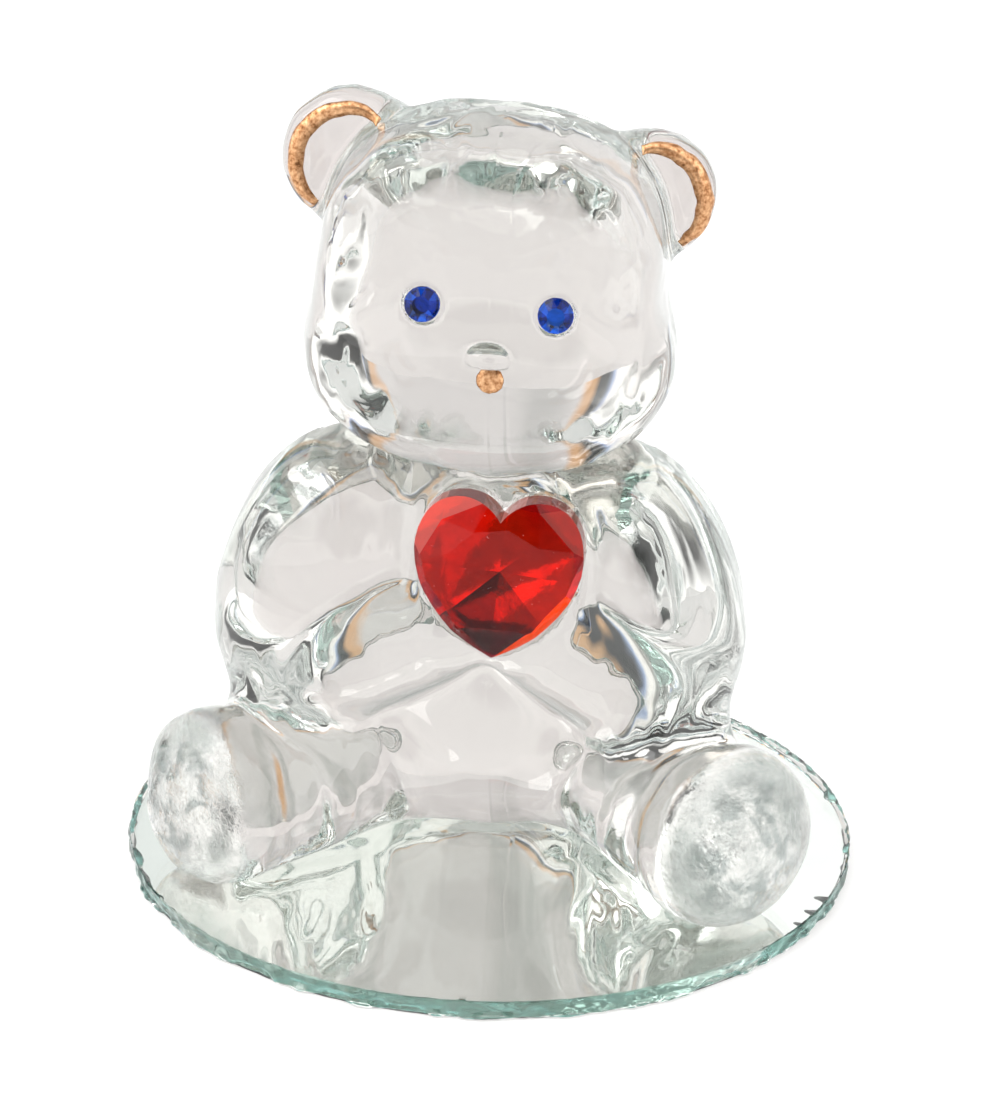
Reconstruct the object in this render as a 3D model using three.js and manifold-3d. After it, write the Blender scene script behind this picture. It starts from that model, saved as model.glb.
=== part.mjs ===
// Pressed-glass teddy bear sitting on a round mirror, with a red faceted heart and blue faceted eyes.
// Millimetres, +Z up. The origin is the centre of the mirror's underside, and the bear looks along -Y,
// so "left" in a name is the bear's own left, at +X.
import * as THREE from "three";
import Module from "manifold-3d";
import { mergeVertices } from "three/addons/utils/BufferGeometryUtils.js";
import { ConvexGeometry } from "three/addons/geometries/ConvexGeometry.js";

const wasm = await Module();
wasm.setup();

// ---------- driving dimensions ----------

const MIRROR_DIAMETER = 60;
const MIRROR_GLASS = 1.4;
const SILVERING = 0.1;
const BACKING_PAINT = 0.1;
const MIRROR_ARRIS = 0.15; // chamfer that takes the sharp edge off the glass disc
const COAT_INSET = 0.2; // silvering and paint stop this far inside the glass edge
const BASE_ADHESIVE = 0.2; // film between the bear and the mirror
const BOND_GAP = 0.05; // clearance between layers that are glued face to face

const HEART_WIDTH = 13.2;
const HEART_HEIGHT = 12.9;
const HEART_GIRDLE = 2.1; // straight side wall
const HEART_CROWN = 1.3; // faceted front above the girdle
const HEART_PAVILION = 0.9; // faceted back, a shallow pyramid
const HEART_LEAN = 7; // degrees, top leaning back
const HEART_ROLL = 2.5; // degrees, clockwise seen from the front
const CROWN_SIDES = 10;
const CROWN_TWIST = 9; // degrees
const PAVILION_SIDES = 8;
const PAVILION_TWIST = 20; // degrees

const EYE_DIAMETER = 2.75;
const EYE_GIRDLE = 0.3;
const EYE_CROWN = 0.75;
const EYE_SIDES = 12;
const EYE_SINK = 0.55; // from the glass surface down to the bottom of the socket
const FOIL = 0.12; // mirrored backing of a jewel
const GLUE = 0.15; // glue film behind a foil
const SOCKET_CLEARANCE = 0.15; // all round a jewel set into the glass

const GOLD_LIFT = 0.26; // from the true glass surface to the back of the ears' gold film
const NOSE_LIFT = 0.42; // the same on the nose, whose faceted glass is coarser than its curve
const GOLD_FILM = 0.15;
const NOSE_DIAMETER = 2.1;

const NET_CELL = 1.85; // edge of a grid cell of the bear's surface net
const DISC_SIDES = 96; // facets round the mirror
const PLATE_SIDES = 32; // facets round an eye's foil, glue and socket
const SEARCH_STEPS = 80; // steps taken towards a form to land on its surface
const SEARCH_SHARE = 0.8; // of the distance to the form, taken in each step
const SLIVER = 0.01; // faces thinner than this, left by a cut, are merged into their neighbours

const MIRROR_TOP = BACKING_PAINT + SILVERING + MIRROR_GLASS;
const BEAR_BOTTOM = MIRROR_TOP + BASE_ADHESIVE;

// ---------- materials ----------

const clearGlass = { color: 0xe4e6e4, roughness: 0.05, metalness: 0 };
const mirrorGlass = { color: 0xb9cfc9, roughness: 0.05, metalness: 0 };
const silver = { color: 0xd6dbdc, roughness: 0.08, metalness: 1 };
const backingPaint = { color: 0x6e7274, roughness: 0.6, metalness: 0 };
const adhesive = { color: 0xe9ebe8, roughness: 0.15, metalness: 0 };
const rubyGlass = { color: 0xc00000, roughness: 0.06, metalness: 0 };
const sapphireGlass = { color: 0x0a2fd0, roughness: 0.06, metalness: 0 };
const jewelFoil = { color: 0xc9b9b6, roughness: 0.2, metalness: 1 };
const goldLustre = { color: 0xc08a55, roughness: 0.35, metalness: 0.9 };

// ---------- vectors and turns ----------

const vec = (x, y, z) => new THREE.Vector3(x, y, z);
const radians = THREE.MathUtils.degToRad;
const NO_TURN = new THREE.Quaternion();

const turnAbout = (axis, degrees) => new THREE.Quaternion().setFromAxisAngle(axis, radians(degrees));

const X_AXIS = vec(1, 0, 0);
const Y_AXIS = vec(0, 1, 0);
const Z_AXIS = vec(0, 0, 1);

// ---------- signed-distance shapes, each a function from a point to a distance, negative inside ----------

// An ellipsoid, or with a power over 2 a rounder-shouldered superellipsoid.
function ellipsoid(centre, radii, { turn = NO_TURN, power = 2 } = {}) {
  const back = turn.clone().invert();
  const q = vec(0, 0, 0);
  return (p) => {
    q.copy(p).sub(centre).applyQuaternion(back).divide(radii);
    const [a, b, c] = [Math.abs(q.x), Math.abs(q.y), Math.abs(q.z)];
    const level = Math.max((a ** power + b ** power + c ** power) ** (1 / power), 1e-9);
    const slope = Math.hypot(
      a ** (power - 1) / radii.x,
      b ** (power - 1) / radii.y,
      c ** (power - 1) / radii.z,
    );
    return (level - 1) / Math.max(slope * level ** (1 - power), 1e-9);
  };
}

// An ellipsoid with its outline seen from the front squared off by one power, and its front and back
// flattened by two others. The radii are across, in front, behind and up.
function cushion(centre, { across, front, behind, up }, { outlinePower, frontPower, backPower }) {
  const q = vec(0, 0, 0);
  return (p) => {
    q.copy(p).sub(centre);
    const [depth, power] = q.y < 0 ? [front, frontPower] : [behind, backPower];
    const [a, b, c] = [Math.abs(q.x) / across, Math.abs(q.y) / depth, Math.abs(q.z) / up];
    const outline = Math.max((a ** outlinePower + c ** outlinePower) ** (1 / outlinePower), 1e-9);
    const level = Math.max((outline ** power + b ** power) ** (1 / power), 1e-9);
    const pull = (outline / level) ** (power - 1);
    const slope = Math.hypot(
      (pull * (a / outline) ** (outlinePower - 1)) / across,
      (pull * (c / outline) ** (outlinePower - 1)) / up,
      (b / level) ** (power - 1) / depth,
    );
    return (level - 1) / Math.max(slope, 1e-9);
  };
}

// A ball swept along a line while its radius changes.
function taperedLimb(from, to, fromRadius, toRadius) {
  const along = to.clone().sub(from);
  const q = vec(0, 0, 0);
  return (p) => {
    q.copy(p).sub(from);
    const share = THREE.MathUtils.clamp(q.dot(along) / along.lengthSq(), 0, 1);
    return q.addScaledVector(along, -share).length() - (fromRadius + (toRadius - fromRadius) * share);
  };
}

// A flat disc with a rounded rim.
function roundedDisc(centre, normal, radius, halfThickness, rim) {
  const axis = normal.clone().normalize();
  const q = vec(0, 0, 0);
  return (p) => {
    q.copy(p).sub(centre);
    const height = q.dot(axis);
    const reach = Math.sqrt(Math.max(q.lengthSq() - height * height, 0)) - (radius - rim);
    const rise = Math.abs(height) - (halfThickness - rim);
    return Math.min(Math.max(reach, rise), 0) + Math.hypot(Math.max(reach, 0), Math.max(rise, 0)) - rim;
  };
}

const ball = (centre, radius) => (p) => p.distanceTo(centre) - radius;

// Two distances joined with a fillet of about the given width.
function smoothMin(a, b, width) {
  const share = THREE.MathUtils.clamp(0.5 + (0.5 * (b - a)) / width, 0, 1);
  return b + (a - b) * share - width * share * (1 - share);
}

const join = (a, b, width) => (p) => smoothMin(a(p), b(p), width);
const carve = (a, tool, width) => (p) => -smoothMin(-a(p), tool(p), width);

// ---------- the bear's form, measured from the mirror's top face ----------

const TORSO = ellipsoid(vec(-0.4, 4.4, 17), vec(14.2, 12, 20.5), { turn: turnAbout(X_AXIS, 8) });
const BACK = cushion(
  vec(-1, 4, 19),
  { across: 18.5, front: 1.5, behind: 10, up: 14.3 },
  { outlinePower: 2.4, frontPower: 2, backPower: 2.3 },
);

const ARMS = [
  {
    shoulder: vec(11.7, 1, 21.6),
    radii: vec(7.8, 8.5, 12.6),
    splay: -20,
    elbow: vec(13.2, -3, 14.4),
    paw: vec(3.6, -9, 21.2),
  },
  {
    shoulder: vec(-13.8, 1, 21.6),
    radii: vec(8.5, 8.5, 12.6),
    splay: 20,
    elbow: vec(-14.9, -3, 15),
    paw: vec(-3.2, -9, 21.2),
  },
];
const ELBOW_RADIUS = 5.7;
const PAW_RADIUS = 3.6;

const LEGS = [
  { hip: vec(7, 5.8, 7.2), foot: vec(20.6, -14, 7), facing: vec(0.6, -0.8, 0.1), radius: 7.3 },
  { hip: vec(-7, 5.8, 7.2), foot: vec(-22.3, -11.6, 6.7), facing: vec(-0.74, -0.67, 0.1), radius: 7 },
];
const HIP_RADIUS = 7.9;
const ANKLE_RADIUS = 6.5;
const ANKLE_DROP = 0.9; // the leg's middle line falls this far from the sole's middle
const FOOT_HALF_THICKNESS = 2.6;
const FOOT_RIM = 2.2;
const ANKLE_SETBACK = 3; // from the foot's middle back to the end of the leg
const SOLE_SETBACK = 1.2; // from the foot's middle back to the middle of the sole's thickness

const HEAD_CENTRE = vec(-0.7, 0.5, 45.8);
const HEAD_TURN = turnAbout(Y_AXIS, 2.5);
const EARS = [
  { name: "left", centre: vec(11.7, 2, 9.2), radius: 5, gold: { from: -52, to: 104, inner: 3.4, outer: 4.5 } },
  { name: "right", centre: vec(-11.9, 2, 10.1), radius: 5.4, gold: { from: 58, to: 236, inner: 3.5, outer: 4.7 } },
];
const EAR_FACING = vec(0, -1, 0.1).normalize();
const EAR_HALF_THICKNESS = 2.4;
const EAR_RIM = 2;
const EAR_DISH_RADIUS = 9;
const EAR_DISH_DEPTH = 0.8;
const SKULL = cushion(
  vec(0, 0.5, 2.1),
  { across: 13.5, front: 12, behind: 13.2, up: 13.8 },
  { outlinePower: 2.7, frontPower: 5, backPower: 2 },
);
const JAW = cushion(
  vec(0.3, -1, -3.3),
  { across: 14.5, front: 11.9, behind: 11.9, up: 7.6 },
  { outlinePower: 2.2, frontPower: 3, backPower: 2 },
);
const NOSE_NUB = ellipsoid(vec(0.85, -12.8, -0.5), vec(1.8, 1.3, 1.3));
const NUB_FLOOR = -0.9; // the nub is cut off level below this height

// Widths of the fillets where one shape runs into the next.
const FILLET = {
  back: 2,
  arm: 2,
  chestPad: 2.5,
  thigh: 3.5,
  sole: 1.6,
  jaw: 2.5,
  ear: 1.6,
  earDish: 0.8,
  nub: 0.3,
  nubFloor: 0.2,
  neck: 2,
};

// Middle of the heart at the back edge of its straight wall.
const HEART_SEAT = vec(1.2, -9.9, 27);
const CHEST_PAD_RADIUS = 6.2;
const CHEST_PAD_HALF = 2.5;
const CHEST_PAD_RIM = 1.5;
const CHEST_PAD_RISE = 0.4; // the pad's front is this far in front of the heart's seat

const heartTurn = turnAbout(X_AXIS, 90 - HEART_LEAN).multiply(turnAbout(Z_AXIS, -HEART_ROLL));
const heartFacing = Z_AXIS.clone().applyQuaternion(heartTurn);

function bearArm({ shoulder, radii, splay, elbow, paw }) {
  const upper = ellipsoid(shoulder, radii, { turn: turnAbout(Y_AXIS, splay), power: 2.15 });
  return { upper, fore: taperedLimb(elbow, paw, ELBOW_RADIUS, PAW_RADIUS) };
}

function bearLeg({ hip, foot, facing, radius }) {
  const outward = facing.clone().normalize();
  const ankle = foot.clone().addScaledVector(outward, -ANKLE_SETBACK);
  ankle.z -= ANKLE_DROP;
  const soleMiddle = foot.clone().addScaledVector(outward, -SOLE_SETBACK);
  return {
    thigh: taperedLimb(hip, ankle, HIP_RADIUS, ANKLE_RADIUS),
    sole: roundedDisc(soleMiddle, outward, radius, FOOT_HALF_THICKNESS, FOOT_RIM),
  };
}

function bearEar({ centre, radius }) {
  const dishCentre = centre
    .clone()
    .addScaledVector(EAR_FACING, EAR_HALF_THICKNESS + EAR_DISH_RADIUS - EAR_DISH_DEPTH);
  const disc = roundedDisc(centre, EAR_FACING, radius, EAR_HALF_THICKNESS, EAR_RIM);
  return carve(disc, ball(dishCentre, EAR_DISH_RADIUS), FILLET.earDish);
}

// The head is described about its own centre and then tilted a little to one side.
function bearHead() {
  let head = join(SKULL, JAW, FILLET.jaw);
  for (const ear of EARS) head = join(head, bearEar(ear), FILLET.ear);
  head = join(head, carve(NOSE_NUB, (p) => p.z - NUB_FLOOR, FILLET.nubFloor), FILLET.nub);
  const back = HEAD_TURN.clone().invert();
  const q = vec(0, 0, 0);
  return (p) => head(q.copy(p).sub(HEAD_CENTRE).applyQuaternion(back));
}

function bearForm() {
  let body = join(TORSO, BACK, FILLET.back);
  for (const arm of ARMS.map(bearArm)) {
    body = join(body, arm.upper, FILLET.arm);
    body = join(body, arm.fore, FILLET.arm);
  }
  const padMiddle = HEART_SEAT.clone().addScaledVector(heartFacing, CHEST_PAD_RISE - CHEST_PAD_HALF);
  const pad = roundedDisc(padMiddle, heartFacing, CHEST_PAD_RADIUS, CHEST_PAD_HALF, CHEST_PAD_RIM);
  body = join(body, pad, FILLET.chestPad);
  for (const leg of LEGS.map(bearLeg)) {
    body = join(body, leg.thigh, FILLET.thigh);
    body = join(body, leg.sole, FILLET.sole);
  }
  body = join(body, bearHead(), FILLET.neck);
  const q = vec(0, 0, 0);
  return (p) => body(q.copy(p).setZ(p.z - MIRROR_TOP));
}

const bear = bearForm();
const NET_LOW = vec(-33, -24, MIRROR_TOP - 6);
const NET_HIGH = vec(31, 21, MIRROR_TOP + 66);

function outwardAt(field, p) {
  const step = 0.05;
  const slope = (axis) =>
    field(p.clone().addScaledVector(axis, step)) - field(p.clone().addScaledVector(axis, -step));
  return vec(slope(X_AXIS), slope(Y_AXIS), slope(Z_AXIS)).normalize();
}

// Moves a point towards a form until it lies on its surface.
function landOn(field, point, toward) {
  for (let step = 0; step < SEARCH_STEPS; step++) point.addScaledVector(toward, field(point) * SEARCH_SHARE);
}

// ---------- solids ----------

function toSolid(geometry) {
  const bare = geometry.clone();
  bare.deleteAttribute("normal");
  bare.deleteAttribute("uv");
  const merged = mergeVertices(bare, 1e-4);
  return new wasm.Manifold(
    new wasm.Mesh({
      numProp: 3,
      vertProperties: new Float32Array(merged.getAttribute("position").array),
      triVerts: new Uint32Array(merged.index.array),
    }),
  );
}

function toGeometry(solid) {
  const mesh = solid.simplify(SLIVER).getMesh();
  const geometry = new THREE.BufferGeometry();
  geometry.setAttribute("position", new THREE.BufferAttribute(mesh.vertProperties, mesh.numProp));
  geometry.setIndex(new THREE.BufferAttribute(mesh.triVerts, 1));
  return geometry;
}

function boxSolid(low, high) {
  const size = high.clone().sub(low);
  const middle = low.clone().add(high).multiplyScalar(0.5);
  const box = new THREE.BoxGeometry(size.x, size.y, size.z).translate(middle.x, middle.y, middle.z);
  return toSolid(box);
}

// The closed surface of a form: one vertex in each grid cell that the surface passes through, moved onto
// the surface, and one four-sided face across each grid edge that leaves the form.
function surfaceNet(field, low, high, cell) {
  const count = high.clone().sub(low).divideScalar(cell).ceil().addScalar(1);
  const corner = (i, j, k) => vec(low.x + i * cell, low.y + j * cell, low.z + k * cell);
  const at = (i, j, k) => (k * count.y + j) * count.x + i;
  const value = new Float64Array(count.x * count.y * count.z);
  for (let k = 0; k < count.z; k++)
    for (let j = 0; j < count.y; j++)
      for (let i = 0; i < count.x; i++) value[at(i, j, k)] = field(corner(i, j, k));

  const CORNERS = [0, 1, 2, 3, 4, 5, 6, 7].map((n) => [n & 1, (n >> 1) & 1, n >> 2]);
  const EDGES = CORNERS.flatMap((a, m) =>
    CORNERS.map((b, n) => [m, n]).filter(
      ([, n]) => n > m && CORNERS[n].reduce((sum, side, axis) => sum + Math.abs(side - a[axis]), 0) === 1,
    ),
  );
  const positions = [];
  const vertexOf = new Map();
  for (let k = 0; k < count.z - 1; k++)
    for (let j = 0; j < count.y - 1; j++)
      for (let i = 0; i < count.x - 1; i++) {
        const values = CORNERS.map(([a, b, c]) => value[at(i + a, j + b, k + c)]);
        const crossings = EDGES.filter(([m, n]) => values[m] < 0 !== values[n] < 0);
        if (!crossings.length) continue;
        const point = vec(0, 0, 0);
        for (const [m, n] of crossings) {
          const share = values[m] / (values[m] - values[n]);
          const start = corner(i + CORNERS[m][0], j + CORNERS[m][1], k + CORNERS[m][2]);
          const end = corner(i + CORNERS[n][0], j + CORNERS[n][1], k + CORNERS[n][2]);
          point.add(start.lerp(end, share));
        }
        point.divideScalar(crossings.length);
        point.addScaledVector(outwardAt(field, point), -field(point));
        vertexOf.set(at(i, j, k), positions.length / 3);
        positions.push(point.x, point.y, point.z);
      }

  const faces = [];
  const addFace = (cells, outward) => {
    const [a, b, c, d] = cells.map(([i, j, k]) => vertexOf.get(at(i, j, k)));
    if (outward) faces.push(a, b, c, a, c, d);
    else faces.push(a, c, b, a, d, c);
  };
  for (let k = 1; k < count.z - 1; k++)
    for (let j = 1; j < count.y - 1; j++)
      for (let i = 1; i < count.x - 1; i++) {
        const inside = value[at(i, j, k)] < 0;
        if (inside !== value[at(i + 1, j, k)] < 0)
          addFace([[i, j - 1, k - 1], [i, j, k - 1], [i, j, k], [i, j - 1, k]], inside);
        if (inside !== value[at(i, j + 1, k)] < 0)
          addFace([[i - 1, j, k - 1], [i - 1, j, k], [i, j, k], [i, j, k - 1]], inside);
        if (inside !== value[at(i, j, k + 1)] < 0)
          addFace([[i - 1, j - 1, k], [i, j - 1, k], [i, j, k], [i - 1, j, k]], inside);
      }
  const geometry = new THREE.BufferGeometry();
  geometry.setAttribute("position", new THREE.Float32BufferAttribute(positions, 3));
  geometry.setIndex(faces);
  return geometry;
}

// A convex stack of regular rings, each [radius, height], turned about Z: the facets of a cut stone.
function facetedStack(rings, sides, twist = 0) {
  const points = rings.flatMap(([radius, height], ring) =>
    Array.from({ length: sides }, (_, side) => {
      const angle = (2 * Math.PI * (side + (ring % 2) / 2)) / sides + radians(twist);
      return vec(radius * Math.cos(angle), radius * Math.sin(angle), height);
    }),
  );
  return toSolid(new ConvexGeometry(points));
}

// A thin film that follows a patch of a form. place(u, v) gives a point near the surface, for u and v
// from 0 to 1, and toward is the direction in which the surface is looked for.
function surfaceFilm(field, place, toward, columns, rows, gap) {
  const layers = [gap, gap + GOLD_FILM].map((lift) => {
    const points = [];
    for (let row = 0; row <= rows; row++)
      for (let column = 0; column <= columns; column++) {
        const point = place(column / columns, row / rows);
        landOn(field, point, toward);
        points.push(point.addScaledVector(outwardAt(field, point), lift));
      }
    return points;
  });
  const layerSize = layers[0].length;
  const index = (layer, column, row) => layer * layerSize + row * (columns + 1) + column;
  const faces = [];
  const quad = (a, b, c, d) => faces.push(a, b, c, a, c, d);
  for (let row = 0; row < rows; row++)
    for (let column = 0; column < columns; column++) {
      const ring = [[column, row], [column + 1, row], [column + 1, row + 1], [column, row + 1]];
      quad(...ring.map(([c, r]) => index(1, c, r)));
      quad(...ring.map(([c, r]) => index(0, c, r)).reverse());
    }
  const rim = [
    ...Array.from({ length: columns }, (_, n) => [n, 0]),
    ...Array.from({ length: rows }, (_, n) => [columns, n]),
    ...Array.from({ length: columns }, (_, n) => [columns - n, rows]),
    ...Array.from({ length: rows }, (_, n) => [0, rows - n]),
  ];
  rim.forEach(([column, row], n) => {
    const [nextColumn, nextRow] = rim[(n + 1) % rim.length];
    quad(index(0, column, row), index(0, nextColumn, nextRow), index(1, nextColumn, nextRow), index(1, column, row));
  });
  const geometry = new THREE.BufferGeometry();
  const flat = layers.flat().flatMap((point) => point.toArray());
  geometry.setAttribute("position", new THREE.Float32BufferAttribute(flat, 3));
  geometry.setIndex(faces);
  return geometry;
}

// ---------- scene graph ----------

const figurine = new THREE.Group();

function addPiece(parent, name, geometry, finish) {
  const mesh = new THREE.Mesh(geometry, new THREE.MeshStandardMaterial(finish));
  mesh.name = name;
  parent.add(mesh);
  return mesh;
}

// ---------- round mirror: paint, silvering, glass ----------

// A disc from a closed profile of [radius, height] points that starts and ends on the axis.
const discOf = (profile) =>
  new THREE.LatheGeometry(
    profile.map(([radius, height]) => new THREE.Vector2(radius, height)),
    DISC_SIDES,
  ).rotateX(Math.PI / 2);

function addMirror() {
  const rim = MIRROR_DIAMETER / 2;
  const coatRim = rim - COAT_INSET;
  const coat = (low, high) => discOf([[0, low], [coatRim, low], [coatRim, high], [0, high]]);
  const silverTop = BACKING_PAINT + SILVERING;
  addPiece(figurine, "mirror_backing_paint", coat(0, BACKING_PAINT), backingPaint);
  addPiece(figurine, "mirror_silvering", coat(BACKING_PAINT, silverTop), silver);
  const glass = discOf([
    [0, silverTop],
    [rim - MIRROR_ARRIS, silverTop],
    [rim, silverTop + MIRROR_ARRIS],
    [rim, MIRROR_TOP - MIRROR_ARRIS],
    [rim - MIRROR_ARRIS, MIRROR_TOP],
    [0, MIRROR_TOP],
  ]);
  addPiece(figurine, "mirror_glass", glass, mirrorGlass);
}

// ---------- heart jewel, its foil and its glue ----------

// Heart outline of the given size, its point downwards, grown outwards by margin.
function heartOutline(margin = 0) {
  const w = HEART_WIDTH / 2 + margin;
  const h = HEART_HEIGHT / 2 + margin;
  const shape = new THREE.Shape();
  shape.moveTo(0, 0.74 * h + margin);
  shape.bezierCurveTo(0.1 * w, 0.9 * h + margin, 0.26 * w, h, 0.45 * w, h);
  shape.bezierCurveTo(0.78 * w, h, w, 0.72 * h, w, 0.3 * h);
  shape.bezierCurveTo(w, -0.28 * h, 0.5 * w, -0.78 * h, 0, -h);
  shape.bezierCurveTo(-0.5 * w, -0.78 * h, -w, -0.28 * h, -w, 0.3 * h);
  shape.bezierCurveTo(-w, 0.72 * h, -0.78 * w, h, -0.45 * w, h);
  shape.bezierCurveTo(-0.26 * w, h, -0.1 * w, 0.9 * h + margin, 0, 0.74 * h + margin);
  return shape;
}

function heartPrism(low, high, margin = 0) {
  const prism = new THREE.ExtrudeGeometry(heartOutline(margin), {
    depth: high - low,
    bevelEnabled: false,
    curveSegments: 9,
  });
  return toSolid(prism.translate(0, 0, low));
}

// The pyramid of the jewel's back, lowered by drop; everything above it is kept when it is intersected.
function pavilion(drop) {
  const reach = HEART_WIDTH;
  const depth = (HEART_PAVILION * reach) / (HEART_WIDTH / 2);
  const rise = depth - HEART_PAVILION;
  const rings = [
    [SLIVER, -HEART_PAVILION - drop],
    [reach, rise - drop],
    [reach, reach],
  ];
  return facetedStack(rings, PAVILION_SIDES, PAVILION_TWIST);
}

function addHeart() {
  const crownTop = HEART_GIRDLE + HEART_CROWN;
  const half = HEART_WIDTH / 2;
  const crown = facetedStack(
    [
      [0.66 * half, crownTop],
      [0.98 * half, crownTop - 0.3 * HEART_CROWN],
      [1.34 * half, HEART_GIRDLE - 0.35],
      [1.5 * half, -HEART_WIDTH],
    ],
    CROWN_SIDES,
    CROWN_TWIST,
  );
  const layerDrops = [0, BOND_GAP, BOND_GAP + FOIL, 2 * BOND_GAP + FOIL];
  const below = layerDrops.map((drop) => pavilion(drop));
  const seat = -HEART_PAVILION - 2 * BOND_GAP - FOIL - GLUE;
  const jewel = heartPrism(-HEART_PAVILION, crownTop + 1).intersect(crown).intersect(below[0]);
  const foil = heartPrism(seat, 0.3).intersect(below[2]).subtract(below[1]);
  const glueBed = heartPrism(seat, 0).subtract(below[3]);

  const group = new THREE.Group();
  group.position.copy(HEART_SEAT).setZ(HEART_SEAT.z + MIRROR_TOP);
  group.quaternion.copy(heartTurn);
  figurine.add(group);
  addPiece(group, "heart_jewel", toGeometry(jewel), rubyGlass);
  addPiece(group, "heart_foil", toGeometry(foil), jewelFoil);
  addPiece(group, "heart_glue", toGeometry(glueBed), adhesive);
  group.updateMatrixWorld(true);
  const pocket = heartPrism(seat - BOND_GAP, HEART_WIDTH, SOCKET_CLEARANCE);
  return toSolid(toGeometry(pocket).applyMatrix4(group.matrixWorld));
}

// ---------- round eyes, each a jewel on its foil and a glue film ----------

const EYES = [
  { name: "left", near: vec(5.1, -20, 48.7) },
  { name: "right", near: vec(-5, -20, 49.1) },
];

function roundPlate(radius, low, high) {
  return new THREE.CylinderGeometry(radius, radius, high - low, PLATE_SIDES)
    .rotateX(Math.PI / 2)
    .translate(0, 0, (low + high) / 2);
}

function addEye({ name, near }) {
  const surface = near.clone().setZ(near.z + MIRROR_TOP);
  landOn(bear, surface, Y_AXIS);
  const facing = outwardAt(bear, surface);
  const group = new THREE.Group();
  group.position.copy(surface).addScaledVector(facing, -EYE_SINK);
  group.quaternion.setFromUnitVectors(Z_AXIS, facing);
  figurine.add(group);

  const radius = EYE_DIAMETER / 2;
  const glueTop = GLUE;
  const foilLow = glueTop + BOND_GAP;
  const stoneLow = foilLow + FOIL + BOND_GAP;
  const girdleTop = stoneLow + EYE_GIRDLE;
  const stone = facetedStack(
    [
      [0.5 * radius, girdleTop + EYE_CROWN],
      [0.99 * radius, girdleTop + 0.18 * EYE_CROWN],
      [radius, girdleTop],
      [radius, stoneLow],
      [0.9 * radius, stoneLow],
    ],
    EYE_SIDES,
  );
  addPiece(group, "eye_jewel_" + name, toGeometry(stone), sapphireGlass);
  addPiece(group, "eye_foil_" + name, roundPlate(0.88 * radius, foilLow, foilLow + FOIL), jewelFoil);
  addPiece(group, "eye_glue_" + name, roundPlate(0.95 * radius, 0, glueTop), adhesive);
  group.updateMatrixWorld(true);
  const socket = roundPlate(radius + SOCKET_CLEARANCE, -BOND_GAP, 4);
  return toSolid(socket.applyMatrix4(group.matrixWorld));
}

// ---------- gold lustre on the ears and the nose ----------

const headPoint = (local) =>
  local.clone().applyQuaternion(HEAD_TURN).add(HEAD_CENTRE).addScaledVector(Z_AXIS, MIRROR_TOP);

function addEarGold({ name, centre, gold }) {
  const { from, to, inner, outer } = gold;
  const place = (u, v) => {
    const angle = radians(from + (to - from) * u);
    const taper = Math.sin(Math.PI * THREE.MathUtils.clamp(u, 0.04, 0.96)) ** 0.5;
    const reach = outer + (inner - outer) * (0.5 + (v - 0.5) * (0.35 + 0.65 * taper));
    return headPoint(vec(centre.x + reach * Math.cos(angle), centre.y - 6, centre.z + reach * Math.sin(angle)));
  };
  addPiece(figurine, "ear_gold_" + name, surfaceFilm(bear, place, Y_AXIS, 18, 3, GOLD_LIFT), goldLustre);
}

function addNoseGold() {
  const local = vec(1.15, -18, -2);
  const place = (u, v) => {
    const [x, z] = [2 * u - 1, 2 * v - 1];
    const reach = NOSE_DIAMETER / 2;
    return headPoint(
      vec(
        local.x + reach * x * Math.sqrt(1 - (z * z) / 2),
        local.y,
        local.z + reach * z * Math.sqrt(1 - (x * x) / 2),
      ),
    );
  };
  addPiece(figurine, "nose_gold", surfaceFilm(bear, place, Y_AXIS, 6, 6, NOSE_LIFT), goldLustre);
}

// ---------- the bear and the film it stands on ----------

function addBear(pockets) {
  const form = toSolid(surfaceNet(bear, NET_LOW, NET_HIGH, NET_CELL));
  const far = MIRROR_DIAMETER;
  const slab = (bottom, top) => boxSolid(vec(-far, -far, bottom), vec(far, far, top));
  let body = form.subtract(slab(-far, BEAR_BOTTOM));
  for (const pocket of pockets) body = body.subtract(pocket);
  addPiece(figurine, "bear_body", toGeometry(body), clearGlass);
  addPiece(figurine, "base_adhesive", toGeometry(form.intersect(slab(MIRROR_TOP, BEAR_BOTTOM))), adhesive);
}

addMirror();
const pockets = [addHeart(), ...EYES.map(addEye)];
addBear(pockets);
EARS.forEach(addEarGold);
addNoseGold();

export default figurine;
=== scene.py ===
"""Looks of the pressed-glass teddy bear on its round mirror.

The bear's form is a signed distance, in millimetres from the middle of the mirror's top face, turned into
a fine mesh. The films, the mirror's layers and the heart are meshes of their own. Every Blender object is
in metres, in the frame's own axes: +Z up, -Y the way the bear faces, +X the bear's own left.
"""

import math

import bmesh
import bpy
import numpy as np
from mathutils import Matrix, Vector


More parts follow.
